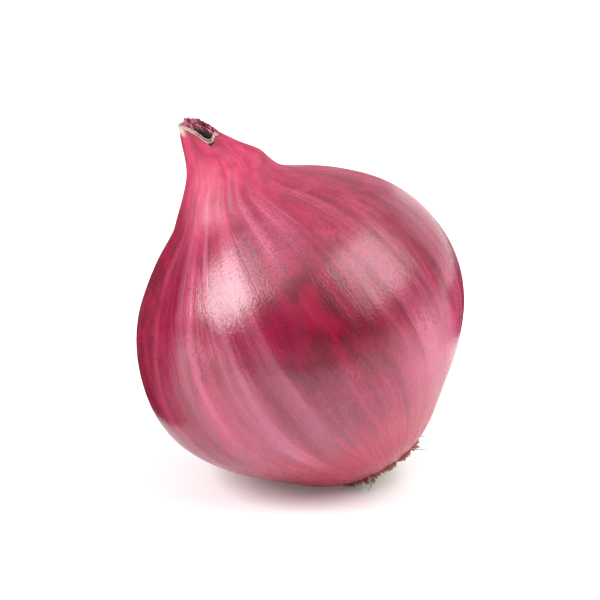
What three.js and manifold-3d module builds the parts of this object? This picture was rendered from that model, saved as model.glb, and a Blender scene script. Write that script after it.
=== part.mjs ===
// A red onion that leans on a small flat spot of its own skin: one grown solid with a round body,
// a drawn-out dry neck, a corky root plate and the stubs of its roots.
// Millimetres, +Z up. The origin is the middle of the flat spot, on the surface that the onion rests on.
import * as THREE from "three";
import { mergeVertices } from "three/addons/utils/BufferGeometryUtils.js";
import Module from "manifold-3d";

const wasm = await Module();
wasm.setup();

// Driving dimensions, in millimetres.
const BULB_RADIUS = 36;
const REST_DEPTH = 1.2; // how far the resting skin is pressed in
const ROOT_RADIUS = 0.6;
const ROOT_LENGTH = 3.2;
const FLOOR_GAP = 0.4; // between the floor and the tip of a root
// How the bulb lies: its axis leans this far from upright, and the neck heads this way round from +X.
const LEAN = THREE.MathUtils.degToRad(29);
const LEAN_HEADING = THREE.MathUtils.degToRad(173);

// The bulb is drawn in its own frame, with its axis on Z and its root end down, as shares of BULB_RADIUS.
// Heights count from the widest place. +X is the side that leans down to the floor, and +Y is the front.

// Outline of the skin as [radius, height], from the rim round the root plate to the torn lip of the neck.
const SKIN_OUTLINE = [
  [0.275, -0.915],
  [0.42, -0.83],
  [0.59, -0.685],
  [0.79, -0.495],
  [0.945, -0.26],
  [1, 0],
  [0.96, 0.265],
  [0.83, 0.515],
  [0.605, 0.73],
  [0.4, 0.865],
  [0.312, 0.965],
  [0.252, 1.06],
  [0.18, 1.17],
  [0.1, 1.34],
];
// The root plate, from its middle out to the groove under the rim of the skin.
const PLATE_RADIUS = 0.235;
const PLATE_OUTLINE = [
  [0, -0.955],
  [0.13, -0.95],
  [PLATE_RADIUS, -0.915],
  [0.25, -0.89],
];
// The open tip of the neck, from its lip down to the bottom of the hollow.
const HOLLOW_OUTLINE = [
  [0.075, 1.33],
  [0.055, 1.22],
  [0, 1.15],
];
const SKIN_STEPS = 44;
const TURN_STEPS = 56;

// The neck is pinched, leans over to the upper side and back a little, and is torn off at a slant,
// with its back lip the higher.
const NECK_START = 0.8;
const NECK_TOP = 1.34;
const NECK_PINCH = 0.6;
const BEND_START = 0.9;
const BEND_END = 1.12;
const NECK_SHIFT = 0.065;
const NECK_RETURN = 0.016;
const TEAR_START = 0.85;
const TEAR_SLOPE = 0.55;
const TEAR_BACK_SLOPE = 0.8;
const BACK_LIP_RISE = 0.045;
// Waves in the torn lip as [turn in degrees, rise, how sharp].
const LIP_WAVES = [
  [40, 0.035, 3],
  [108, -0.05, 10],
  [-150, -0.045, 3],
];
const NECK_CREASES = 9;
const CREASE_DEPTH = 0.07;
// The body is a little three-lobed, and its upper side is fuller at the shoulder and leaner at the root.
const LOBES = 3;
const LOBE_DEPTH = 0.008;
const LOBE_TURN = 0.6;
const SHOULDER_TILT = 0.04;

// The roots start inside the plate and spread as they leave it.
const ROOT_COUNT = 24;
const ROOT_FOOT = -0.89;
const ROOT_RING = 0.21;
const ROOT_SPREAD = 0.4;
const ROOT_SIDES = 7;
const ROOT_TAPER = 0.5;
const SUNFLOWER_TURN = Math.PI * (3 - Math.sqrt(5));

const SAME_POINT = 1e-4;

function bulbOutline() {
  const corners = (outline) => outline.map(([radius, height]) => new THREE.Vector2(radius, height));
  const skin = new THREE.SplineCurve(corners(SKIN_OUTLINE)).getPoints(SKIN_STEPS);
  return [...corners(PLATE_OUTLINE), ...skin, ...corners(HOLLOW_OUTLINE)];
}

// Moves a point of the turned bulb to where the grown one has it.
function grow(point) {
  const { smoothstep } = THREE.MathUtils;
  const turn = Math.atan2(point.y, point.x);
  const neck = smoothstep(point.z, NECK_START, NECK_TOP);
  const tear = Math.max(0, (point.z - TEAR_START) / (NECK_TOP - TEAR_START)) ** 3;
  const over = smoothstep(point.z, BEND_START, BEND_END);
  const back = smoothstep(point.z, BEND_END, NECK_TOP);
  const lobe = 1 + LOBE_DEPTH * Math.cos(LOBES * turn + LOBE_TURN);
  const side = 1 - SHOULDER_TILT * point.z * Math.cos(turn) * (1 - neck);
  const crease = 1 + CREASE_DEPTH * neck * Math.cos(NECK_CREASES * turn);
  point.x *= lobe * side * crease;
  point.y *= lobe * side * crease * (1 - NECK_PINCH * neck);
  let slant = TEAR_SLOPE * point.x - TEAR_BACK_SLOPE * point.y;
  slant += BACK_LIP_RISE * Math.max(0, -Math.sin(turn));
  for (const [waveTurn, waveHeight, sharpness] of LIP_WAVES) {
    const facing = Math.cos(turn - THREE.MathUtils.degToRad(waveTurn));
    slant += waveHeight * Math.max(0, facing) ** sharpness;
  }
  point.z += tear * slant;
  point.x -= NECK_SHIFT * over - NECK_RETURN * back;
}

function bulbGeometry() {
  // LatheGeometry turns its outline about Y; the bulb's axis is Z.
  const geometry = new THREE.LatheGeometry(bulbOutline(), TURN_STEPS).rotateX(Math.PI / 2);
  const positions = geometry.getAttribute("position");
  const point = new THREE.Vector3();
  for (let i = 0; i < positions.count; i++) {
    grow(point.fromBufferAttribute(positions, i));
    positions.setXYZ(i, point.x, point.y, point.z);
  }
  return geometry.scale(BULB_RADIUS, BULB_RADIUS, BULB_RADIUS);
}

// The turn from the bulb's own frame to the way it lies.
function layDown() {
  const lean = new THREE.Matrix4().makeRotationY(LEAN);
  return new THREE.Matrix4().makeRotationZ(LEAN_HEADING).multiply(lean);
}

function solidOf(geometry) {
  const bare = geometry.clone();
  bare.deleteAttribute("normal");
  bare.deleteAttribute("uv");
  const merged = mergeVertices(bare, SAME_POINT);
  return new wasm.Manifold(
    new wasm.Mesh({
      numProp: 3,
      vertProperties: merged.getAttribute("position").array,
      triVerts: new Uint32Array(merged.index.array),
    }),
  );
}

function geometryOf(solid) {
  const mesh = solid.getMesh();
  const geometry = new THREE.BufferGeometry();
  geometry.setAttribute("position", new THREE.BufferAttribute(mesh.vertProperties, 3));
  geometry.setIndex(new THREE.BufferAttribute(mesh.triVerts, 1));
  return geometry;
}

// One tapered root stub from its foot in the plate. It is as long as the floor under it allows,
// and where there is no room for half a stub there is none.
function rootStub(foot, direction, floor) {
  const room = (foot.z - floor - ROOT_RADIUS - FLOOR_GAP) / -direction.z;
  const length = Math.min(ROOT_LENGTH, room);
  if (length < ROOT_LENGTH / 2) return null;
  const stub = new THREE.CylinderGeometry(ROOT_RADIUS * ROOT_TAPER, ROOT_RADIUS, length, ROOT_SIDES);
  const up = new THREE.Vector3(0, 1, 0);
  stub.translate(0, length / 2, 0);
  stub.applyQuaternion(new THREE.Quaternion().setFromUnitVectors(up, direction));
  return solidOf(stub.translate(foot.x, foot.y, foot.z));
}

// The stubs stand over the plate in a sunflower's order.
function rootStubs(placed, floor) {
  const stubs = [];
  for (let i = 0; i < ROOT_COUNT; i++) {
    const reach = Math.sqrt((i + 0.5) / ROOT_COUNT);
    const turn = i * SUNFLOWER_TURN;
    const outward = new THREE.Vector3(reach * Math.cos(turn), reach * Math.sin(turn), 0);
    const foot = outward.clone().multiplyScalar(ROOT_RING).setZ(ROOT_FOOT).multiplyScalar(BULB_RADIUS);
    const direction = outward.clone().multiplyScalar(ROOT_SPREAD).setZ(-1);
    const stub = rootStub(foot.applyMatrix4(placed), direction.transformDirection(placed), floor);
    if (stub) stubs.push(stub);
  }
  return stubs;
}

// Cuts the skin flat where it rests, and moves the middle of that flat spot to the origin.
function restOnFloor(solid, floor) {
  const size = 4 * BULB_RADIUS;
  const below = new THREE.BoxGeometry(size, size, size).translate(0, 0, floor - size / 2);
  const geometry = geometryOf(solid.subtract(solidOf(below)));
  const positions = geometry.getAttribute("position");
  const spot = new THREE.Box3();
  const point = new THREE.Vector3();
  for (let i = 0; i < positions.count; i++) {
    point.fromBufferAttribute(positions, i);
    if (point.z < floor + SAME_POINT) spot.expandByPoint(point);
  }
  const middle = spot.getCenter(new THREE.Vector3());
  return geometry.translate(-middle.x, -middle.y, -floor);
}

function onionGeometry() {
  const placed = layDown();
  const body = bulbGeometry().applyMatrix4(placed);
  body.computeBoundingBox();
  const floor = body.boundingBox.min.z + REST_DEPTH;
  const whole = rootStubs(placed, floor).reduce((joined, stub) => joined.add(stub), solidOf(body));
  return restOnFloor(whole, floor);
}

const bulb = new THREE.Mesh(
  onionGeometry(),
  new THREE.MeshStandardMaterial({ color: 0xb5385e, roughness: 0.45, metalness: 0 }),
);
bulb.name = "onion_bulb";

const onion = new THREE.Group();
onion.add(bulb);

export default onion;
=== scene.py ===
# A red onion lying at a lean on a pale floor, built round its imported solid. Metres, +Z up, front at -Y.
import math
import random

import bpy
import numpy as np
from mathutils import Matrix, Vector, noise


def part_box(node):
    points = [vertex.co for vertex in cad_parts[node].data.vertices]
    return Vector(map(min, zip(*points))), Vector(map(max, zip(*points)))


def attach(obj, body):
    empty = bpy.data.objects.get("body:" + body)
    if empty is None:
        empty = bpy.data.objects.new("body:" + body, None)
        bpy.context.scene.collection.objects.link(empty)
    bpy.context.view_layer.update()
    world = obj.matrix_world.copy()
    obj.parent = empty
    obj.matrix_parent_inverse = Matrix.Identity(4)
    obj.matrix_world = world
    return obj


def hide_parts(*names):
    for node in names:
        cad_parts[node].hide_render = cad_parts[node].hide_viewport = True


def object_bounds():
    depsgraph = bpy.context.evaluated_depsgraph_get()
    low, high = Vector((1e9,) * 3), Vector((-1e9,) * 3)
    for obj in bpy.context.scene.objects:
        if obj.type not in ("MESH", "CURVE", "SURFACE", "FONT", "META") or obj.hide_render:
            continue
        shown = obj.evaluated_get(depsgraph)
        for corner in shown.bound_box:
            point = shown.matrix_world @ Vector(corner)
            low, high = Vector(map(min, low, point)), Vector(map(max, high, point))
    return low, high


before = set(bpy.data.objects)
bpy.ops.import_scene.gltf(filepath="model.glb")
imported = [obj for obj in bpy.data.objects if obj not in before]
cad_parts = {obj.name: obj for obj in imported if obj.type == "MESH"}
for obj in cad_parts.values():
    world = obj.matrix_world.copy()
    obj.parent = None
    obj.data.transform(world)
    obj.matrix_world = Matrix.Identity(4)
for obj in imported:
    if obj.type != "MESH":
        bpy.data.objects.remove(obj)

cad_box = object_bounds()


# ---------------------------------------------------------------------------------------------------
# The skin. An onion's outer leaves dry to a thin papery skin round the whole bulb, from a torn rim at the
# root plate up to the neck, where they run together and were cut. It grew as one, so it is one closed
# shape: it is turned like a pot, and then pushed out of round, ribbed, creased at the neck and torn.

# The bulb is drawn in its own frame, as shares of its radius. Its axis is Z, with the root end down, and
# heights count from the widest place. +X is the side that leans to the floor, and +Y the front.
node_low, node_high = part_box("onion_bulb")
bulb_radius = (node_high.y - node_low.y) / 2
rest_depth = 0.0012
lean = math.radians(29)
lean_heading = math.radians(173)

lip_height = 1.34
root_recess = [(0, -0.86), (0.14, -0.865), (0.245, -0.875), (0.262, -0.9)]
skin_outline = [
    (0.275, -0.915), (0.42, -0.83), (0.59, -0.685), (0.79, -0.495), (0.945, -0.26),
    (1, 0), (0.96, 0.265), (0.83, 0.515), (0.605, 0.73), (0.4, 0.865),
    (0.312, 0.965), (0.252, 1.06), (0.18, 1.17), (0.1, lip_height),
]
neck_hollow = [(0.094, 1.345), (0.088, 1.32), (0.08, 1.26), (0.07, 1.2), (0.05, 1.15), (0, 1.14)]
steps_between = 3
measuring_steps = 6  # between two points of the outline, when lengths along it are measured
turn_steps = 112

neck_start, bend_start, neck_bend = 0.8, 0.9, 1.12
neck_pinch, neck_shift, neck_return = 0.6, 0.065, 0.016
tear_start, tear_slope, tear_back_slope = 0.85, 0.55, 0.8
back_lip_rise = 0.045
# Waves in the torn lip, as (turn in degrees, rise, how sharp).
lip_waves = [(40, 0.035, 3), (108, -0.05, 10), (-150, -0.045, 3)]
lobes, lobe_depth, lobe_turn = 3, 0.008, 0.6
shoulder_tilt = 0.04

# How far the skin stands out, as shares of its distance from the axis.
rib_depth, vein_depth, small_vein_depth, fibre_depth = 0.003, 0.004, 0.0012, 0.001
dent_depth, pucker_depth = 0.006, 0.02
fold_depth, small_fold_depth, crease_depth, neck_slimming = 0.065, 0.02, 0.008, 0.05
lip_raggedness = 0.014
lip_curl, lip_curl_change = 0.12, 0.25


def smoothstep(value, low, high):
    share = np.clip((value - low) / (high - low), 0, 1)
    return share * share * (3 - 2 * share)


def curve_through(points, steps):
    """Points of a smooth curve through the given ones, with so many steps between each two."""
    ends = [points[0], *points, points[-1]]
    made = []
    for before, start, end, after in zip(ends, ends[1:], ends[2:], ends[3:]):
        before, start, end, after = (np.array(point, float) for point in (before, start, end, after))
        for step in range(steps):
            t = step / steps
            made.append(start + 0.5 * t * (end - before
                        + t * (2 * before - 5 * start + 4 * end - after
                        + t * (3 * (start - end) + after - before))))
    return [tuple(point) for point in made] + [points[-1]]


def turned_shape(name, outline, steps):
    """A shape turned round Z from an outline of (radius, height). An end on the axis is closed."""
    bpy.ops.object.select_all(action="DESELECT")
    bpy.ops.mesh.primitive_plane_add(size=0.1, location=(0, 0, 0))
    bpy.ops.object.mode_set(mode="EDIT")
    bpy.ops.mesh.merge(type="CENTER")
    bpy.ops.transform.translate(value=(outline[0][0], 0, outline[0][1]))
    for (radius, height), (next_radius, next_height) in zip(outline, outline[1:]):
        bpy.ops.mesh.extrude_region_move(
            TRANSFORM_OT_translate={"value": (next_radius - radius, 0, next_height - height)})
    bpy.ops.mesh.select_all(action="SELECT")
    bpy.ops.mesh.spin(steps=steps, angle=2 * math.pi, center=(0, 0, 0), axis=(0, 0, 1))
    bpy.ops.mesh.select_all(action="SELECT")
    bpy.ops.mesh.remove_doubles(threshold=1e-4)
    bpy.ops.mesh.normals_make_consistent(inside=False)
    bpy.ops.object.mode_set(mode="OBJECT")
    shape = bpy.context.object
    shape.name = shape.data.name = name
    return shape


def apply_modifier(shape, kind, **settings):
    modifier = shape.modifiers.new(kind, kind)
    for name, value in settings.items():
        setattr(modifier, name, value)
    bpy.context.view_layer.objects.active = shape
    bpy.ops.object.modifier_apply(modifier=modifier.name)


def subdivide(shape, levels):
    apply_modifier(shape, "SUBSURF", levels=levels, render_levels=levels)


def smooth(shape):
    bpy.ops.object.select_all(action="DESELECT")
    shape.select_set(True)
    bpy.context.view_layer.objects.active = shape
    bpy.ops.object.shade_smooth()


def points_of(shape):
    points = np.empty(len(shape.data.vertices) * 3)
    shape.data.vertices.foreach_get("co", points)
    return points.reshape(-1, 3)


def move_points(shape, points):
    shape.data.vertices.foreach_set("co", points.ravel())
    shape.data.update()


def noise_at(points):
    return np.array([noise.noise(Vector(point)) for point in points])


def ridges_at(points, softness):
    """Rounded ridges, 1 high, where the noise crosses 0."""
    return 1 - 2 * np.sqrt(noise_at(points) ** 2 + softness)


def round_places(turn, height):
    """Places on a cylinder of radius 1, where noise that is stretched in height follows the fibres."""
    return np.column_stack([np.cos(turn), np.sin(turn), height])


def grow(points, turn, height):
    """Moves points of the turned bulb to where the grown one has them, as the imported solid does."""
    neck = smoothstep(height, neck_start, lip_height)
    tear = np.maximum(0, (height - tear_start) / (lip_height - tear_start)) ** 3
    lobe = 1 + lobe_depth * np.cos(lobes * turn + lobe_turn)
    side = 1 - shoulder_tilt * height * np.cos(turn) * (1 - neck)
    x = points[:, 0] * lobe * side
    y = points[:, 1] * lobe * side * (1 - neck_pinch * neck)
    slant = tear_slope * x - tear_back_slope * y + back_lip_rise * np.maximum(0, -np.sin(turn))
    for wave_turn, wave_height, sharpness in lip_waves:
        slant += wave_height * np.maximum(0, np.cos(turn - math.radians(wave_turn))) ** sharpness
    shift = neck_shift * smoothstep(height, bend_start, neck_bend)
    shift -= neck_return * smoothstep(height, neck_bend, lip_height)
    return np.column_stack([x - shift, y, points[:, 2] + tear * slant])


outline = root_recess + curve_through(skin_outline, steps_between) + neck_hollow
skin = turned_shape("bulb_skin", outline, turn_steps)
subdivide(skin, 2)
turned = points_of(skin)
radius = np.hypot(turned[:, 0], turned[:, 1])
height = turned[:, 2].copy()
turn = np.arctan2(turned[:, 1], turned[:, 0])

# How far along the outline each point lies, from the root plate's middle to the bottom of the neck's hollow.
line = np.array(curve_through(outline, measuring_steps))
line_length = np.concatenate([[0], np.cumsum(np.hypot(*np.diff(line, axis=0).T))])


def length_along(place):
    """The length along the outline, up to its point that is nearest to a (radius, height)."""
    return float(line_length[np.argmin(((line - place) ** 2).sum(axis=1))])


along = np.array([length_along(place) for place in zip(radius, height)])
lip_along = length_along(skin_outline[-1])

# The fibres run from root to neck, weave a little and turn slightly round the axis on the way.
fibre_turn = turn + 0.05 * np.sin(2 * height + 1) + 0.03 * np.sin(3 * turn + 2 * height)
around = round_places(fibre_turn, height)
neck_share = smoothstep(height, 0.76, 1.25)
root_share = smoothstep(-height, 0.72, 0.92)

# Each noise has its own frequencies, and a shift that keeps it apart from the others.
ribs = noise_at(around * (4.5, 4.5, 0.35))
veins = ridges_at(around * (4, 4, 0.22) + 5, 0.002)
small_veins = ridges_at(around * (10, 10, 0.5) + 17, 0.002)
fibres = noise_at(around * (26, 26, 1.2))
dents = noise_at(turned * 2.3 + 7)
folds = ridges_at(around * (3.2, 3.2, 0.4) + 11, 0.006)
small_folds = ridges_at(around * (7, 7, 0.8) + 23, 0.01)
creases = noise_at(around * (13, 13, 2) + 29)
pucker = 1 - 2 * np.abs(noise_at(around * (12, 12, 1) + 31))
swell = rib_depth * ribs + vein_depth * veins + small_vein_depth * small_veins + fibre_depth * fibres
swell *= 1 - neck_share
swell += dent_depth * dents + root_share * pucker_depth * pucker
neck_swell = fold_depth * folds + small_fold_depth * small_folds + crease_depth * creases - neck_slimming
swell += neck_share * neck_swell
turned[:, :2] *= (1 + swell)[:, None]

# The lip of the neck is torn, and its back edge curls over.
lip_share = smoothstep(height, lip_height - 0.09, lip_height)
ragged = noise_at(around * (6, 6, 0) + 41) + 0.25 * noise_at(around * (19, 19, 0) + 43)
turned[:, 2] += lip_raggedness * lip_share * (ragged - 1.2)
curl = smoothstep(height, lip_height - 0.05, lip_height + 0.01) * np.maximum(0, -np.sin(turn))
curl *= lip_curl + lip_curl_change * noise_at(around * (7, 7, 0) + 47)
turned[:, :2] *= (1 + curl)[:, None]
grown = grow(turned, turn, height)

lie = Matrix.Rotation(lean_heading, 3, "Z") @ Matrix.Rotation(lean, 3, "Y")
lying = grown * bulb_radius @ np.array(lie).T
node_middle = (node_low + node_high) / 2
middle = (lying.max(0) + lying.min(0)) / 2
place = np.array([node_middle.x - middle[0], node_middle.y - middle[1], -rest_depth - lying[:, 2].min()])


def lay_down(points):
    """Points of the bulb's own frame, put where the onion lies."""
    return points * bulb_radius @ np.array(lie).T + place


def settle(shape, points, lowest):
    """Gives a shape its points where the onion lies, with none under the lowest height."""
    laid = lay_down(points)
    laid[:, 2] = np.maximum(laid[:, 2], lowest)
    move_points(shape, laid)


settle(skin, grown, 0)


def keep_attribute(shape, name, values):
    values = np.asarray(values, float)
    kind = "FLOAT_VECTOR" if values.ndim == 2 else "FLOAT"
    attribute = shape.data.attributes.new(name, kind, "POINT")
    attribute.data.foreach_set("vector" if values.ndim == 2 else "value", values.ravel())


keep_attribute(skin, "fibre_space", around)
keep_attribute(skin, "bulb_place", turned)
keep_attribute(skin, "along", along)
keep_attribute(skin, "rib", veins)
smooth(skin)


def paint(code):
    """A colour from its six-figure code, in the shares of light that a shader takes."""
    shares = [int(code[start:start + 2], 16) / 255 for start in (0, 2, 4)]
    return [((share + 0.055) / 1.055) ** 2.4 for share in shares] + [1]


def new_material(name):
    material = bpy.data.materials.new(name)
    material.use_nodes = True
    return material, material.node_tree, material.node_tree.nodes["Principled BSDF"]


def put(tree, kind, inputs, **settings):
    """Adds a node. Its inputs are values or other nodes' outputs, by name or number."""
    node = tree.nodes.new("ShaderNode" + kind)
    for name, value in settings.items():
        setattr(node, name, value)
    for name, value in inputs.items():
        if isinstance(value, bpy.types.NodeSocket):
            tree.links.new(value, node.inputs[name])
        else:
            node.inputs[name].default_value = value
    return node.outputs


def kept(tree, name, output="Fac"):
    """What keep_attribute kept on the mesh."""
    return put(tree, "Attribute", {}, attribute_name=name)[output]


def grain(tree, place, scale, detail=2, shift=0):
    """Noise of 0 to 1 on a place that is stretched by a scale along each axis."""
    stretch = {0: place, 1: scale, 2: (shift, shift, shift)}
    stretched = put(tree, "VectorMath", stretch, operation="MULTIPLY_ADD")
    return put(tree, "TexNoise", {"Vector": stretched[0], "Scale": 1, "Detail": detail})[0]


def rise(tree, value, low, high, start=0, end=1):
    """Goes smoothly from start to end while the value goes from low to high."""
    limits = {"From Min": low, "From Max": high, "To Min": start, "To Max": end}
    return put(tree, "MapRange", {"Value": value, **limits}, interpolation_type="SMOOTHSTEP")[0]


def reckon(tree, operation, *values):
    return put(tree, "Math", dict(enumerate(values)), operation=operation)[0]


def blend(tree, share, first, second):
    """The first colour, with a share of the second laid over it."""
    return put(tree, "Mix", {0: share, 6: first, 7: second}, data_type="RGBA")[2]


def blend_number(tree, share, first, second):
    return put(tree, "Mix", {0: share, 2: first, 3: second})[0]


def facing(tree, place, side_turn):
    """How far a place faces the side at a turn in degrees: 1 in its middle, and 0 a quarter turn off."""
    side = (math.cos(math.radians(side_turn)), math.sin(math.radians(side_turn)), 0)
    return put(tree, "VectorMath", {0: place, 1: side}, operation="DOT_PRODUCT")["Value"]


def give_finish(tree, shader, colour, roughness, bump_strength, bump_height, relief):
    """Links a shader's colour, roughness and bump. The bump's height is in metres."""
    bump = put(tree, "Bump", {"Strength": bump_strength, "Distance": bump_height, "Height": relief})[0]
    tree.links.new(colour, shader.inputs["Base Color"])
    tree.links.new(roughness, shader.inputs["Roughness"])
    tree.links.new(bump, shader.inputs["Normal"])


# Each dark side is (turn of its middle, lower end, upper end, where it fades in, where it is at its full).
# Each pale side is (turn of its middle, lower end, upper end, where it fades in, how strong it is). A side
# fades in between 0, a quarter turn from its middle, and 1, its middle.
# The dark side at 14 degrees, round the upper left, is painted shade; the one at 112 degrees is the skin's
# own colour.
dark_sides_and_painted_shade = [(112, -0.15, 0.75, 0.87, 0.97), (14, -0.3, 1.2, 0.78, 0.97)]
# The pale side at 150 degrees, low on the right, is painted light from the bright floor beside it; the one
# at 78 degrees is the skin's own paler pink.
pale_sides_and_painted_light = [(150, -1.3, -0.1, 0.9, 0.5), (78, -0.6, 0.25, 0.92, 0.26)]
# Each stain is (turn of its sharp edge, width in degrees, lowest, highest, how strong it is). One with a
# width below 0 fades the other way round the bulb.
skin_stains = [
    (83, 16, -0.65, 0.5, 1.0), (96, 18, -0.5, 0.6, 0.75), (56, -20, -0.4, 0.9, 0.6),
    (133, -16, -0.1, 0.65, 0.2), (178, 20, -0.6, 0.5, 0.55), (222, -16, -0.4, 0.7, 0.5),
    (262, 13, -0.6, 0.4, 0.6), (300, 22, -0.3, 0.8, 0.5), (338, -14, -0.5, 0.6, 0.55),
]

skin_material, tree, shader = new_material("onion_skin")
fibre_space = kept(tree, "fibre_space", "Vector")
bulb_place = kept(tree, "bulb_place", "Vector")
rib = kept(tree, "rib")
along = kept(tree, "along")
across, deep, up = put(tree, "SeparateXYZ", {0: fibre_space})

# Broad streaks of darker and paler crimson, clouded and grained. The lower half is pinker, with violet
# patches.
streaks = grain(tree, fibre_space, (5, 5, 0.7), 2)
clouds = grain(tree, bulb_place, (12, 12, 5), 4, 3)
pale_clouds = grain(tree, bulb_place, (7, 7, 2.5), 3, 7)
fine_streaks = grain(tree, fibre_space, (26, 26, 1.7), 3, 45)
threads = grain(tree, fibre_space, (80, 80, 5), 2, 9)
grit = grain(tree, bulb_place, (80, 80, 45), 2, 12)
violet = grain(tree, bulb_place, (9, 9, 5), 3, 21)
low_half = rise(tree, reckon(tree, "MULTIPLY_ADD", clouds, 0.3, up), 0.25, -0.1)
streak_share = rise(tree, streaks, 0.32, 0.68)
colour = blend(tree, streak_share, paint("6C0022"), paint("900436"))
low_colour = blend(tree, streak_share, paint("88022E"), paint("A21446"))
colour = blend(tree, low_half, colour, low_colour)
cloud_colour = blend(tree, low_half, paint("64001C"), paint("7A1A3E"))
colour = blend(tree, rise(tree, clouds, 0.42, 0.66, 0, 0.55), colour, cloud_colour)
colour = blend(tree, rise(tree, pale_clouds, 0.45, 0.68, 0, 0.4), colour, paint("A8385C"))
streak_fade = rise(tree, up, 0.35, 0.75, 1, 0.3)
pale_streaks = reckon(tree, "MULTIPLY", rise(tree, fine_streaks, 0.5, 0.68, 0, 0.35), streak_fade)
dark_streaks = reckon(tree, "MULTIPLY", rise(tree, fine_streaks, 0.47, 0.32, 0, 0.4), streak_fade)
colour = blend(tree, pale_streaks, colour, paint("B04062"))
colour = blend(tree, dark_streaks, colour, paint("5A0220"))
violet_share = reckon(tree, "MULTIPLY", rise(tree, violet, 0.46, 0.62, 0, 0.5), low_half)
colour = blend(tree, violet_share, colour, paint("641A38"))

# Pale veins run from root to neck, where the skin stands up in ribs, and fade in and out.
vein_fade = rise(tree, grain(tree, fibre_space, (3, 3, 1.1), 1, 5), 0.35, 0.65)
vein_share = reckon(tree, "MULTIPLY", rise(tree, rib, 0.68, 0.9, 0, 0.45), vein_fade)
colour = blend(tree, vein_share, colour, paint("C06080"))

# Fine pale lines lie between them, at even turns but for a slow wander, with long gaps.
line_pairs = 24
turn_now = reckon(tree, "ARCTAN2", deep, across)
wander = reckon(tree, "MULTIPLY", grain(tree, fibre_space, (2.5, 2.5, 0.3), 1, 13), 14.0)
phase = reckon(tree, "MULTIPLY_ADD", turn_now, line_pairs, wander)
off_line = reckon(tree, "ABSOLUTE", reckon(tree, "SINE", phase))
line_fade = rise(tree, grain(tree, fibre_space, (9, 9, 2.5), 1, 17), 0.5, 0.65)
line_share = reckon(tree, "MULTIPLY", rise(tree, off_line, 0.12, 0.0, 0, 0.45), line_fade)
colour = blend(tree, line_share, colour, paint("CC7E9A"))

# Dust, threads of the fibres and a dark grit lie over all of it.
dust = grain(tree, fibre_space, (2.6, 2.6, 1.6), 3, 27)
colour = blend(tree, rise(tree, dust, 0.45, 0.7, 0, 0.08), colour, paint("C080A0"))
colour = blend(tree, rise(tree, threads, 0.4, 0.68, 0, 0.25), colour, paint("B02C54"))
colour = blend(tree, rise(tree, grit, 0.45, 0.68, 0, 0.5), colour, paint("50061E"))

# A fine grey speckle, in patches.
speckle = grain(tree, bulb_place, (85, 85, 50), 1, 33)
speckle_place = rise(tree, grain(tree, fibre_space, (5, 5, 2.5), 2, 37), 0.45, 0.6)
speckle_share = reckon(tree, "MULTIPLY", rise(tree, speckle, 0.58, 0.7, 0, 0.5), speckle_place)
colour = blend(tree, speckle_share, colour, paint("401028"))

# The pale sides are pinker; the one low on the right is painted light from the bright floor beside it.
for side_turn, lower_end, upper_end, reach, strength in pale_sides_and_painted_light:
    side_share = rise(tree, facing(tree, fibre_space, side_turn), reach, 0.99, 0, strength)
    below = rise(tree, reckon(tree, "MULTIPLY_ADD", clouds, 0.2, up), upper_end + 0.1, upper_end - 0.15)
    between = reckon(tree, "MULTIPLY", below, rise(tree, up, lower_end, lower_end + 0.35))
    colour = blend(tree, reckon(tree, "MULTIPLY", side_share, between), colour, paint("C86480"))

# The neck is a clear pink, with darker lines painted on it as the shade of its creases. By the root the skin
# is redder, and streaked.
neck_fade = grain(tree, fibre_space, (6, 6, 3), 3, 41)
to_neck = rise(tree, reckon(tree, "MULTIPLY_ADD", neck_fade, 0.4, up), 0.95, 1.3, 0, 0.9)
neck_clouds = rise(tree, grain(tree, bulb_place, (14, 14, 9), 3, 51), 0.38, 0.62)
painted_crease_shade = rise(tree, grain(tree, fibre_space, (11, 11, 2.5), 3, 53), 0.52, 0.72, 0, 0.5)
neck_colour = blend(tree, neck_clouds, paint("9C003A"), paint("B2204E"))
painted_tip_crease_shade = rise(tree, grain(tree, fibre_space, (6, 6, 2.2), 2, 59), 0.52, 0.62, 0, 0.75)
tip_share = reckon(tree, "MULTIPLY", painted_tip_crease_shade, rise(tree, up, 1.12, 1.28))
neck_colour = blend(tree, tip_share, neck_colour, paint("8C0C34"))
colour = blend(tree, to_neck, colour, blend(tree, painted_crease_shade, neck_colour, paint("780A30")))
root_streaks = rise(tree, grain(tree, fibre_space, (40, 40, 3), 2, 43), 0.4, 0.65)
to_root = rise(tree, reckon(tree, "MULTIPLY_ADD", root_streaks, -0.12, up), -0.42, -0.78, 0, 0.9)
colour = blend(tree, to_root, colour, blend(tree, root_streaks, paint("9A002C"), paint("B41C46")))

# The dark sides are a deep clear crimson; the one round the upper left is painted shade.
dark_colour = blend(tree, rise(tree, clouds, 0.35, 0.65), paint("84002A"), paint("5C0018"))
for side_turn, lower_end, upper_end, reach, full_reach in dark_sides_and_painted_shade:
    side_share = rise(tree, facing(tree, fibre_space, side_turn), reach, full_reach, 0, 0.85)
    side_share = reckon(tree, "MULTIPLY", side_share, rise(tree, up, upper_end, upper_end - 0.35))
    above = rise(tree, reckon(tree, "MULTIPLY_ADD", clouds, 0.3, up), lower_end, lower_end + 0.35)
    colour = blend(tree, reckon(tree, "MULTIPLY", side_share, above), colour, dark_colour)

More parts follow.
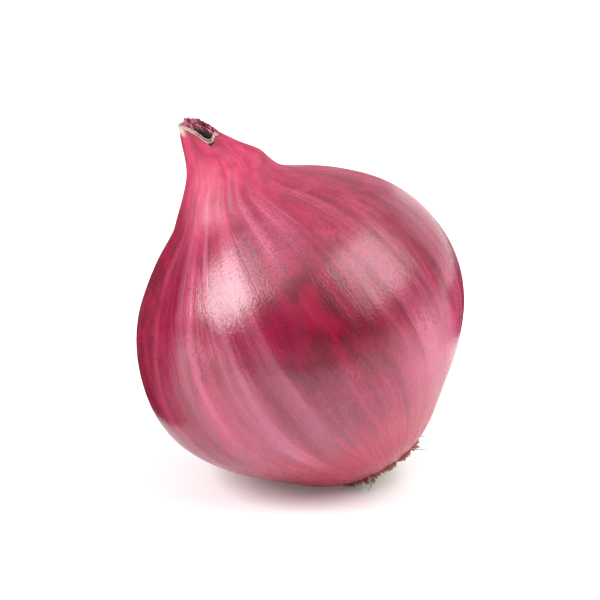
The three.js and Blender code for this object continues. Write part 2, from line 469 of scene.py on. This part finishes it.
# Stains have one sharp edge along a fibre, and fade round the bulb from there. Beyond the edge the skin is
# a little paler. Lengths past the edge are shares of a whole turn.
edge_softness, edge_raggedness = 0.006, 0.004
streak_grain = rise(tree, fine_streaks, 0.36, 0.6, 0.55, 1)
stain_grain = reckon(tree, "MULTIPLY", streak_grain, rise(tree, grit, 0.35, 0.65, 0.7, 1))
stain_height = reckon(tree, "MULTIPLY_ADD", clouds, 0.25, up)
for edge_turn, width, lowest, highest, strength in skin_stains:
    way_round = math.copysign(1, width)
    edge_share, width_share = way_round * edge_turn / 360, abs(width) / 360
    past_edge = reckon(tree, "MULTIPLY_ADD", turn_now, way_round / (2 * math.pi), -edge_share)
    past_edge = reckon(tree, "FRACT", reckon(tree, "MULTIPLY_ADD", threads, edge_raggedness, past_edge))
    from_low = rise(tree, stain_height, lowest, lowest + 0.35)
    to_high = rise(tree, stain_height, highest + 0.2, highest - 0.1)
    stain_share = reckon(tree, "MULTIPLY", stain_grain, strength)
    stain_share = reckon(tree, "MULTIPLY", stain_share, reckon(tree, "MINIMUM", from_low, to_high))
    from_edge = rise(tree, past_edge, 0, edge_softness)
    to_end = rise(tree, past_edge, width_share / 4, width_share, 1, 0)
    stained = reckon(tree, "MULTIPLY", reckon(tree, "MINIMUM", from_edge, to_end), stain_share)
    colour = blend(tree, stained, colour, paint("720830"))
    pale_start = rise(tree, past_edge, 0.97, 0.995, 0, 0.3)
    pale_end = rise(tree, past_edge, 1, 1 - edge_softness / 2, 0, 0.3)
    paled = reckon(tree, "MULTIPLY", reckon(tree, "MINIMUM", pale_start, pale_end), stain_share)
    colour = blend(tree, paled, colour, paint("CC7C98"))

# The lip is dry: whitish where the neck leans to, brown-red along its edge, and painted shade down inside.
lip_dry = rise(tree, reckon(tree, "MULTIPLY_ADD", threads, 0.02, along), lip_along, lip_along + 0.01, 0, 0.6)
colour = blend(tree, lip_dry, colour, paint("7A3038"))
hollow_mottle = rise(tree, grain(tree, fibre_space, (14, 14, 12), 2, 57), 0.4, 0.6)
hollow_colour_and_shade = blend(tree, hollow_mottle, paint("A04A60"), paint("4A0C1C"))
colour = blend(tree, rise(tree, along, lip_along + 0.005, lip_along + 0.02), colour, hollow_colour_and_shade)
# Deeper down the hollow, the painted shade goes nearly black.
colour = blend(tree, rise(tree, along, lip_along + 0.02, lip_along + 0.1), colour, paint("1C0408"))
lip_pale = reckon(tree, "MULTIPLY", rise(tree, up, 1.295, 1.325), rise(tree, across, 0.6, 0.9, 0, 0.85))
colour = blend(tree, lip_pale, colour, paint("BCB09C"))

# The skin is glossy, but duller on the neck, and on the shoulder of the side that leans away from the floor.
roughness = rise(tree, threads, 0.2, 0.8, 0.2, 0.28)
roughness = reckon(tree, "ADD", roughness, rise(tree, dust, 0.42, 0.7, 0, 0.06))
roughness = reckon(tree, "ADD", roughness, rise(tree, speckle_share, 0, 0.5, 0, 0.1))
roughness = reckon(tree, "ADD", roughness, rise(tree, grit, 0.4, 0.7, 0, 0.05))
dull_side = reckon(tree, "MULTIPLY", rise(tree, across, 0, -0.6), rise(tree, up, 0.42, 0.58))
roughness = blend_number(tree, dull_side, roughness, 0.68)
roughness = blend_number(tree, to_neck, roughness, 0.64)
shader.inputs["IOR"].default_value = 1.56
relief = reckon(tree, "MULTIPLY_ADD", threads, 0.35, reckon(tree, "MULTIPLY", grit, 0.8))
relief = reckon(tree, "MULTIPLY", relief, rise(tree, up, 0.6, 0.95, 1, 0.2))
give_finish(tree, shader, colour, roughness, 0.5, 0.00013, relief)
skin.data.materials.append(skin_material)

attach(skin, "root")
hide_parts("onion_bulb")

# ---------------------------------------------------------------------------------------------------
# The dry leaf ends in the neck. Where the neck was cut, two inner leaves end in the open lip, each a tube
# that dried flat: one against the front of the lip, with a pale edge, and a crumpled one against its back.

leaf_thickness = 0.00022
leaf_low_radius, leaf_edge_radius = 0.06, 0.086
leaf_bottom = 1.16
leaf_rows, leaf_turn_steps = 8, 40
# Each is (side of the lip, depths of the outer and inner layer, height of the edge, crumpling, tearing,
# paleness of the edge).
leaf_ends = [(1, 0.92, 0.56, 1.336, 0.08, 0.01, 1), (-1, 0.95, 0.18, 1.33, 0.5, 0.03, 0)]
leaf_pieces = []
for number, (side, outer, inner, edge_height, crumple, tear_depth, pale) in enumerate(leaf_ends):
    shares = np.linspace(0, 1, leaf_rows + 1)
    radii = leaf_low_radius + (leaf_edge_radius - leaf_low_radius) * shares
    heights = leaf_bottom + (edge_height - leaf_bottom) * shares
    leaf = turned_shape(f"leaf_end_{number}", list(zip(radii, heights)), leaf_turn_steps)
    subdivide(leaf, 2)
    sheet = points_of(leaf)
    sheet_turn = np.arctan2(sheet[:, 1], sheet[:, 0])
    sheet_height = sheet[:, 2].copy()
    round_sheet = round_places(sheet_turn, sheet_height)
    open_share = smoothstep(sheet_height, leaf_bottom, edge_height)
    seed = 61 + 13 * number
    wrinkle = noise_at(round_sheet * (4.5, 4.5, 16) + seed)
    torn = noise_at(round_sheet * (3.5, 3.5, 0) + seed)
    torn += 0.3 * noise_at(round_sheet * (9, 9, 0) + seed + 3)
    layer = np.where(sheet[:, 1] * side > 0, outer, inner)
    sheet[:, 1] = side * np.abs(sheet[:, 1]) * layer * (1 + crumple * open_share * wrinkle)
    sheet[:, 2] += open_share ** 3 * tear_depth * torn
    keep_attribute(leaf, "fibre_space", round_sheet)
    keep_attribute(leaf, "below_edge", (edge_height - sheet_height) * bulb_radius * 1000)
    keep_attribute(leaf, "pale", np.full(len(sheet), pale))
    # Both layers go where the lip is on that side.
    sheet = grow(sheet, side * np.abs(sheet_turn), np.minimum(sheet_height, lip_height))
    move_points(leaf, lay_down(sheet))
    apply_modifier(leaf, "SOLIDIFY", thickness=leaf_thickness)
    leaf_pieces.append(leaf)


def join(pieces, name):
    """Joins pieces into the first of them, smooth and under the given name."""
    smooth(pieces[0])
    for piece in pieces:
        piece.select_set(True)
    bpy.ops.object.join()
    bpy.ops.object.shade_smooth()
    pieces[0].name = pieces[0].data.name = name
    return pieces[0]


neck_leaves = join(leaf_pieces, "neck_leaves")

leaf_material, tree, shader = new_material("dry_leaf")
fibre_space = kept(tree, "fibre_space", "Vector")
below_edge = kept(tree, "below_edge")  # in millimetres
leaf_fibres = grain(tree, fibre_space, (18, 18, 5), 3, 3)
leaf_mottle = grain(tree, fibre_space, (7, 7, 20), 3, 15)
edge_colour = blend(tree, rise(tree, leaf_mottle, 0.44, 0.56), paint("C06C80"), paint("6A1430"))
pale_share = reckon(tree, "MULTIPLY", kept(tree, "pale"), rise(tree, leaf_mottle, 0.6, 0.45, 0.55, 0.95))
edge_colour = blend(tree, pale_share, edge_colour, paint("C8A8A0"))
depth_now = reckon(tree, "ADD", leaf_mottle, below_edge)
colour = blend(tree, rise(tree, depth_now, 0.5, 0.3, 0, 0.4), edge_colour, paint("5A2028"))
# Deeper below their edges the leaves are painted nearly black, as painted shade down in the neck.
colour = blend(tree, rise(tree, depth_now, 0.8, 1.9), colour, paint("22040C"))
give_finish(tree, shader, colour, rise(tree, leaf_fibres, 0.2, 0.8, 0.5, 0.75), 0.6, 0.0002, leaf_fibres)
neck_leaves.data.materials.append(leaf_material)

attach(neck_leaves, "root")

# ---------------------------------------------------------------------------------------------------
# The root plate. The bulb's short stem ends in a corky disc that fills the ring of the skin's lower rim.
# It grew there with the leaves, and dried hard, knobbly and tan, pinker towards its edge.

plate_radius = 0.25
plate_turn_steps = 40
knob_depth = 0.02
root_gap = 0.0003  # between the floor and all that is round the roots
plate_outline = [(0, -0.95), (0.07, -0.955), (0.13, -0.952), (0.19, -0.935), (0.235, -0.905),
                 (plate_radius, -0.88), (0.24, -0.865), (0, -0.862)]
root_plate = turned_shape("root_plate", plate_outline, plate_turn_steps)
subdivide(root_plate, 2)
plate = points_of(root_plate)
plate_reach = np.hypot(plate[:, 0], plate[:, 1]) / plate_radius
knobs = noise_at(plate * 14 + 71) + 0.6 * noise_at(plate * 38 + 73)
plate[:, 2] -= knob_depth * knobs * smoothstep(-plate[:, 2], 0.87, 0.93)
settle(root_plate, grow(plate, np.arctan2(plate[:, 1], plate[:, 0]), plate[:, 2].copy()), root_gap)
keep_attribute(root_plate, "reach", plate_reach)
smooth(root_plate)

plate_material, tree, shader = new_material("root_cork")
spot = put(tree, "TexCoord", {})["Object"]
cork_patches = grain(tree, spot, (450, 450, 450), 4, 3)
cork_grain = grain(tree, spot, (1900, 1900, 1900), 3, 11)
colour = blend(tree, rise(tree, cork_patches, 0.35, 0.65), paint("8A6040"), paint("C09868"))
colour = blend(tree, rise(tree, cork_grain, 0.35, 0.6, 0.7, 0), colour, paint("4A2C1A"))
colour = blend(tree, rise(tree, kept(tree, "reach"), 0.75, 1, 0, 0.7), colour, paint("8C3040"))
give_finish(tree, shader, colour, rise(tree, cork_grain, 0.2, 0.8, 0.7, 0.9), 0.8, 0.0004, cork_grain)
root_plate.data.materials.append(plate_material)

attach(root_plate, "root")

# ---------------------------------------------------------------------------------------------------
# The rootlets. Roots grew out of the plate in rings and dried when the bulb was lifted: most broke off
# to short stubs, and some longer curly ones are left, mainly round the plate's edge.

root_steps, root_sides = 6, 6
root_taper = 0.45
stub_count, long_count = 120, 24
bpy.ops.object.select_all(action="DESELECT")
bpy.ops.mesh.primitive_circle_add(vertices=root_sides, radius=1, fill_type="NGON", location=(0, 0, 0))
bpy.ops.object.mode_set(mode="EDIT")
for step in range(root_steps):
    bpy.ops.mesh.extrude_region_move(TRANSFORM_OT_translate={"value": (0, 0, 1 / root_steps)})
bpy.ops.transform.resize(value=(root_taper, root_taper, 1))
bpy.ops.mesh.select_all(action="SELECT")
bpy.ops.mesh.normals_make_consistent(inside=False)
bpy.ops.object.mode_set(mode="OBJECT")
root_pattern = bpy.context.object
pattern = points_of(root_pattern)
chance = random.Random(5)


def grow_root(number, foot_reach, foot_turn, length, thickness, spread, curl):
    """One root from its foot in the plate. Its length and thickness are shares of the bulb's radius."""
    root = root_pattern.copy()
    root.data = root_pattern.data.copy()
    root.name = root.data.name = f"rootlet_{number}"
    bpy.context.scene.collection.objects.link(root)
    outward = np.array([math.cos(foot_turn), math.sin(foot_turn), 0])
    sideways = np.array([-math.sin(foot_turn), math.cos(foot_turn), 0])
    foot = outward * foot_reach * plate_radius + (0, 0, -0.925 + 0.03 * foot_reach ** 3)
    heading = outward * spread * (0.3 + foot_reach) + sideways * chance.uniform(-0.5, 0.5) + (0, 0, -1)
    heading /= np.linalg.norm(heading)
    bend_way = outward * chance.uniform(-1, 1) + sideways * chance.uniform(-1, 1)
    bend_way[2] += chance.uniform(-0.2, 0.9)
    wave_way = np.cross(heading, bend_way)
    share = pattern[:, 2]
    spine = foot + np.outer(share * length, heading) + np.outer(curl * length * share ** 2, bend_way)
    spine += np.outer(0.12 * curl * length * np.sin(share * chance.uniform(4, 9)), wave_way)
    width = thickness * (1 - 0.45 * share) * (1 + 0.25 * np.sin(share * 17 + number))
    # The pattern points up and a root down, so the pattern is turned over and not mirrored.
    shape = spine + np.outer(pattern[:, 0] * width, outward) - np.outer(pattern[:, 1] * width, sideways)
    laid = lay_down(shape)
    foot_height, lowest = laid[0, 2], laid[:, 2].min()
    if lowest < root_gap:
        # The floor has pressed it flatter.
        laid[:, 2] -= foot_height
        laid[:, 2] *= (foot_height - root_gap) / (foot_height - lowest)
        laid[:, 2] += foot_height
    move_points(root, laid)
    keep_attribute(root, "share", share)
    keep_attribute(root, "tint", np.full(len(share), chance.random()))
    return root


sunflower_turn = math.pi * (3 - math.sqrt(5))
roots = []
for number in range(stub_count):
    foot_reach = math.sqrt((number + 0.5) / stub_count)
    roots.append(grow_root(number, foot_reach, number * sunflower_turn + chance.uniform(-0.2, 0.2),
                           chance.uniform(0.03, 0.075), chance.uniform(0.007, 0.012), 0.5, 0.3))
for number in range(long_count):
    foot_reach = chance.uniform(0.75, 1.0)
    foot_turn = (number + chance.random()) / long_count * 2 * math.pi
    roots.append(grow_root(stub_count + number, foot_reach, foot_turn,
                           chance.uniform(0.05, 0.11), chance.uniform(0.004, 0.007), 0.7, 0.8))
bpy.data.objects.remove(root_pattern)
rootlets = join(roots, "rootlets")

root_material, tree, shader = new_material("dry_root")
spot = put(tree, "TexCoord", {})["Object"]
share = kept(tree, "share")
root_mottle = grain(tree, spot, (1500, 1500, 1500), 3, 5)
colour = blend(tree, kept(tree, "tint"), paint("B08A58"), paint("D8C49C"))
colour = blend(tree, rise(tree, root_mottle, 0.4, 0.65, 0, 0.6), colour, paint("7A5434"))
colour = blend(tree, rise(tree, share, 0.75, 1, 0, 0.5), colour, paint("E6DCC0"))
colour = blend(tree, rise(tree, share, 0.35, 0, 0, 0.6), colour, paint("5A3420"))
give_finish(tree, shader, colour, rise(tree, root_mottle, 0.2, 0.8, 0.65, 0.85), 0.6, 0.0002, root_mottle)
rootlets.data.materials.append(root_material)

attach(rootlets, "root")

# ---------------------------------------------------------------------------------------------------
# The fringe. Round the root plate the oldest, outermost skin has torn away, and what is left of its edge
# stands up from the rim as a thin, brittle, ragged fringe, dark maroon with tan tips.

fringe_thickness = 0.00016
fringe_turn_steps = 150
tear_depth, flutter_depth = 0.022, 0.07
fringe_outline = [(0.292, -0.896), (0.288, -0.908), (0.284, -0.918), (0.28, -0.927), (0.276, -0.936)]
fringe = turned_shape("skin_fringe", fringe_outline, fringe_turn_steps)
subdivide(fringe, 1)
ragged_edge = points_of(fringe)
fringe_turn = np.arctan2(ragged_edge[:, 1], ragged_edge[:, 0])
fringe_height = ragged_edge[:, 2].copy()
round_fringe = round_places(fringe_turn, fringe_height)
free_share = smoothstep(-fringe_height, 0.9, 0.936)
tatters = noise_at(round_fringe * (8, 8, 0) + 81) + 0.9 * noise_at(round_fringe * (26, 26, 0) + 83)
flutter = noise_at(round_fringe * (6, 6, 12) + 87) + 0.5 * noise_at(round_fringe * (22, 22, 12) + 89)
ragged_edge[:, 2] -= tear_depth * free_share * tatters
ragged_edge[:, :2] *= (1 + flutter_depth * free_share * flutter)[:, None]
keep_attribute(fringe, "fibre_space", round_fringe)
keep_attribute(fringe, "free", free_share)
settle(fringe, grow(ragged_edge, fringe_turn, fringe_height), root_gap)
apply_modifier(fringe, "SOLIDIFY", thickness=fringe_thickness)
smooth(fringe)

fringe_material, tree, shader = new_material("torn_skin")
fibre_space = kept(tree, "fibre_space", "Vector")
fringe_streaks = grain(tree, fibre_space, (45, 45, 20), 3, 3)
colour = blend(tree, rise(tree, fringe_streaks, 0.4, 0.6), paint("8A1C3C"), paint("4A0C20"))
tip_share = rise(tree, reckon(tree, "MULTIPLY_ADD", fringe_streaks, 0.8, kept(tree, "free")), 0.9, 1.3)
colour = blend(tree, tip_share, colour, blend(tree, fringe_streaks, paint("3C1418"), paint("B08C6C")))
fringe_roughness = rise(tree, fringe_streaks, 0.2, 0.8, 0.5, 0.75)
give_finish(tree, shader, colour, fringe_roughness, 0.6, 0.0002, fringe_streaks)
fringe.data.materials.append(fringe_material)

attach(fringe, "root")

# ---------------------------------------------------------------------------------------------------
# The studio: a pale floor, a soft light on each side above the onion, and a long lens that looks down.
# The floor glows more the further it lies from the onion, so it is white round the soft shadow.

bpy.ops.mesh.primitive_plane_add(size=12, location=(0, 0, 0))
floor = bpy.context.object
floor.name = "floor"
floor_material, tree, shader = new_material("floor_white")
shader.inputs["Base Color"].default_value = (0.85, 0.85, 0.85, 1)
shader.inputs["Roughness"].default_value = 0.7
shader.inputs["Specular IOR Level"].default_value = 0.2
shader.inputs["Emission Color"].default_value = (1, 1, 1, 1)
floor_place = put(tree, "TexCoord", {})["Object"]
floor_reach = put(tree, "VectorMath", {0: floor_place}, operation="LENGTH")["Value"]
tree.links.new(rise(tree, floor_reach, 0.03, 0.5, 0.1, 0.7), shader.inputs["Emission Strength"])
floor.data.materials.append(floor_material)

view_elevation = math.radians(20)
view_distance = 0.9
frame_share = 0.62  # how much of the frame's height the onion's height takes up
target = (cad_box[0] + cad_box[1]) / 2
target_height = cad_box[1].z - cad_box[0].z
camera_data = bpy.data.cameras.new("camera")
camera = bpy.data.objects.new("camera", camera_data)
bpy.context.scene.collection.objects.link(camera)
back = Vector((0, -math.cos(view_elevation), math.sin(view_elevation)))
camera.location = target + back * view_distance
camera.rotation_euler = (-back).to_track_quat("-Z", "Y").to_euler()
camera_data.angle = 2 * math.atan(target_height / frame_share / 2 / view_distance)
bpy.context.scene.camera = camera


def soft_light(name, direction, distance, width, height, power):
    data = bpy.data.lights.new(name, "AREA")
    data.shape = "RECTANGLE"
    data.size, data.size_y = width, height
    data.energy = power
    light = bpy.data.objects.new(name, data)
    bpy.context.scene.collection.objects.link(light)
    toward = Vector(direction).normalized()
    light.location = target + toward * distance
    light.rotation_euler = toward.to_track_quat("Z", "Y").to_euler()


soft_light("soft_left", (-0.82, -0.2, 0.56), 0.9, 0.6, 0.52, 11.5)
soft_light("soft_right", (0.62, -0.15, 0.79), 0.9, 0.8, 0.85, 10.5)


def card(name, low_edge, high_edge, width, colour):
    """A dull card between two edges' middles. Only reflections show it."""
    bpy.ops.mesh.primitive_plane_add(size=1, location=(low_edge + high_edge) / 2)
    made = bpy.context.object
    made.name = name
    made.scale = ((high_edge - low_edge).length, width, 1)
    made.rotation_euler = (high_edge - low_edge).to_track_quat("X", "Z").to_euler()
    made.visible_camera = made.visible_shadow = made.visible_diffuse = False
    material, tree, shader = new_material(name)
    shader.inputs["Base Color"].default_value = colour
    shader.inputs["Roughness"].default_value = 0.9
    made.data.materials.append(material)


# A dark red card leans behind each side of the onion, and a black one lies before it.
card("left_card", Vector((-0.042, 0.065, 0.001)), Vector((-0.11, 0.065, 0.08)), 0.16, (0.1, 0.006, 0.02, 1))
card("right_card", Vector((0.06, 0.06, 0.001)), Vector((0.078, 0.078, 0.036)), 0.09, (0.1, 0.006, 0.02, 1))
card("black_card", Vector((0, -0.19, 0.001)), Vector((0, -0.9, 0.002)), 1.2, (0.02, 0.02, 0.02, 1))

# The room is white along the floor's far edge, brighter still behind the onion, and pale grey above. It is
# dark low on the left, and in front from just over the floor to the ceiling.
room_bright, room_dark = 1.05, 0.03
sky_bright, wall_bright = 0.55, 1.9
world = bpy.data.worlds.new("studio")
bpy.context.scene.world = world
world.use_nodes = True
tree = world.node_tree
way = put(tree, "TexCoord", {})["Generated"]
way_right, way_back, way_up = put(tree, "SeparateXYZ", {0: way})


def all_of(tree, *shares):
    """The product of some shares."""
    product = shares[0]
    for share in shares[1:]:
        product = reckon(tree, "MULTIPLY", product, share)
    return product


in_front = rise(tree, reckon(tree, "MULTIPLY_ADD", way_right, 0.45, way_back), 0.25, -0.35)
in_front = all_of(tree, in_front, rise(tree, way_up, 0.8, 0.4))
on_left = all_of(tree, rise(tree, way_right, -0.2, -0.7),
                 rise(tree, way_up, 0.5, 0.3), rise(tree, way_up, 0.15, 0.3))
dark_side = reckon(tree, "MAXIMUM", in_front, on_left)
behind = all_of(tree, rise(tree, way_back, 0.2, 0.7), rise(tree, way_up, 0.5, 0.25),
                rise(tree, way_right, -0.45, -0.15), rise(tree, way_right, 0.75, 0.45))
sky = reckon(tree, "MULTIPLY_ADD", behind, wall_bright - sky_bright, sky_bright)
lit = blend_number(tree, dark_side, sky, room_dark)
strength = blend_number(tree, rise(tree, way_up, 0.06, 0.12), room_bright, lit)
background = tree.nodes["Background"]
tree.links.new(strength, background.inputs["Strength"])
background.inputs["Color"].default_value = (1, 1, 1, 1)
bpy.context.scene.view_settings.view_transform = "Standard"
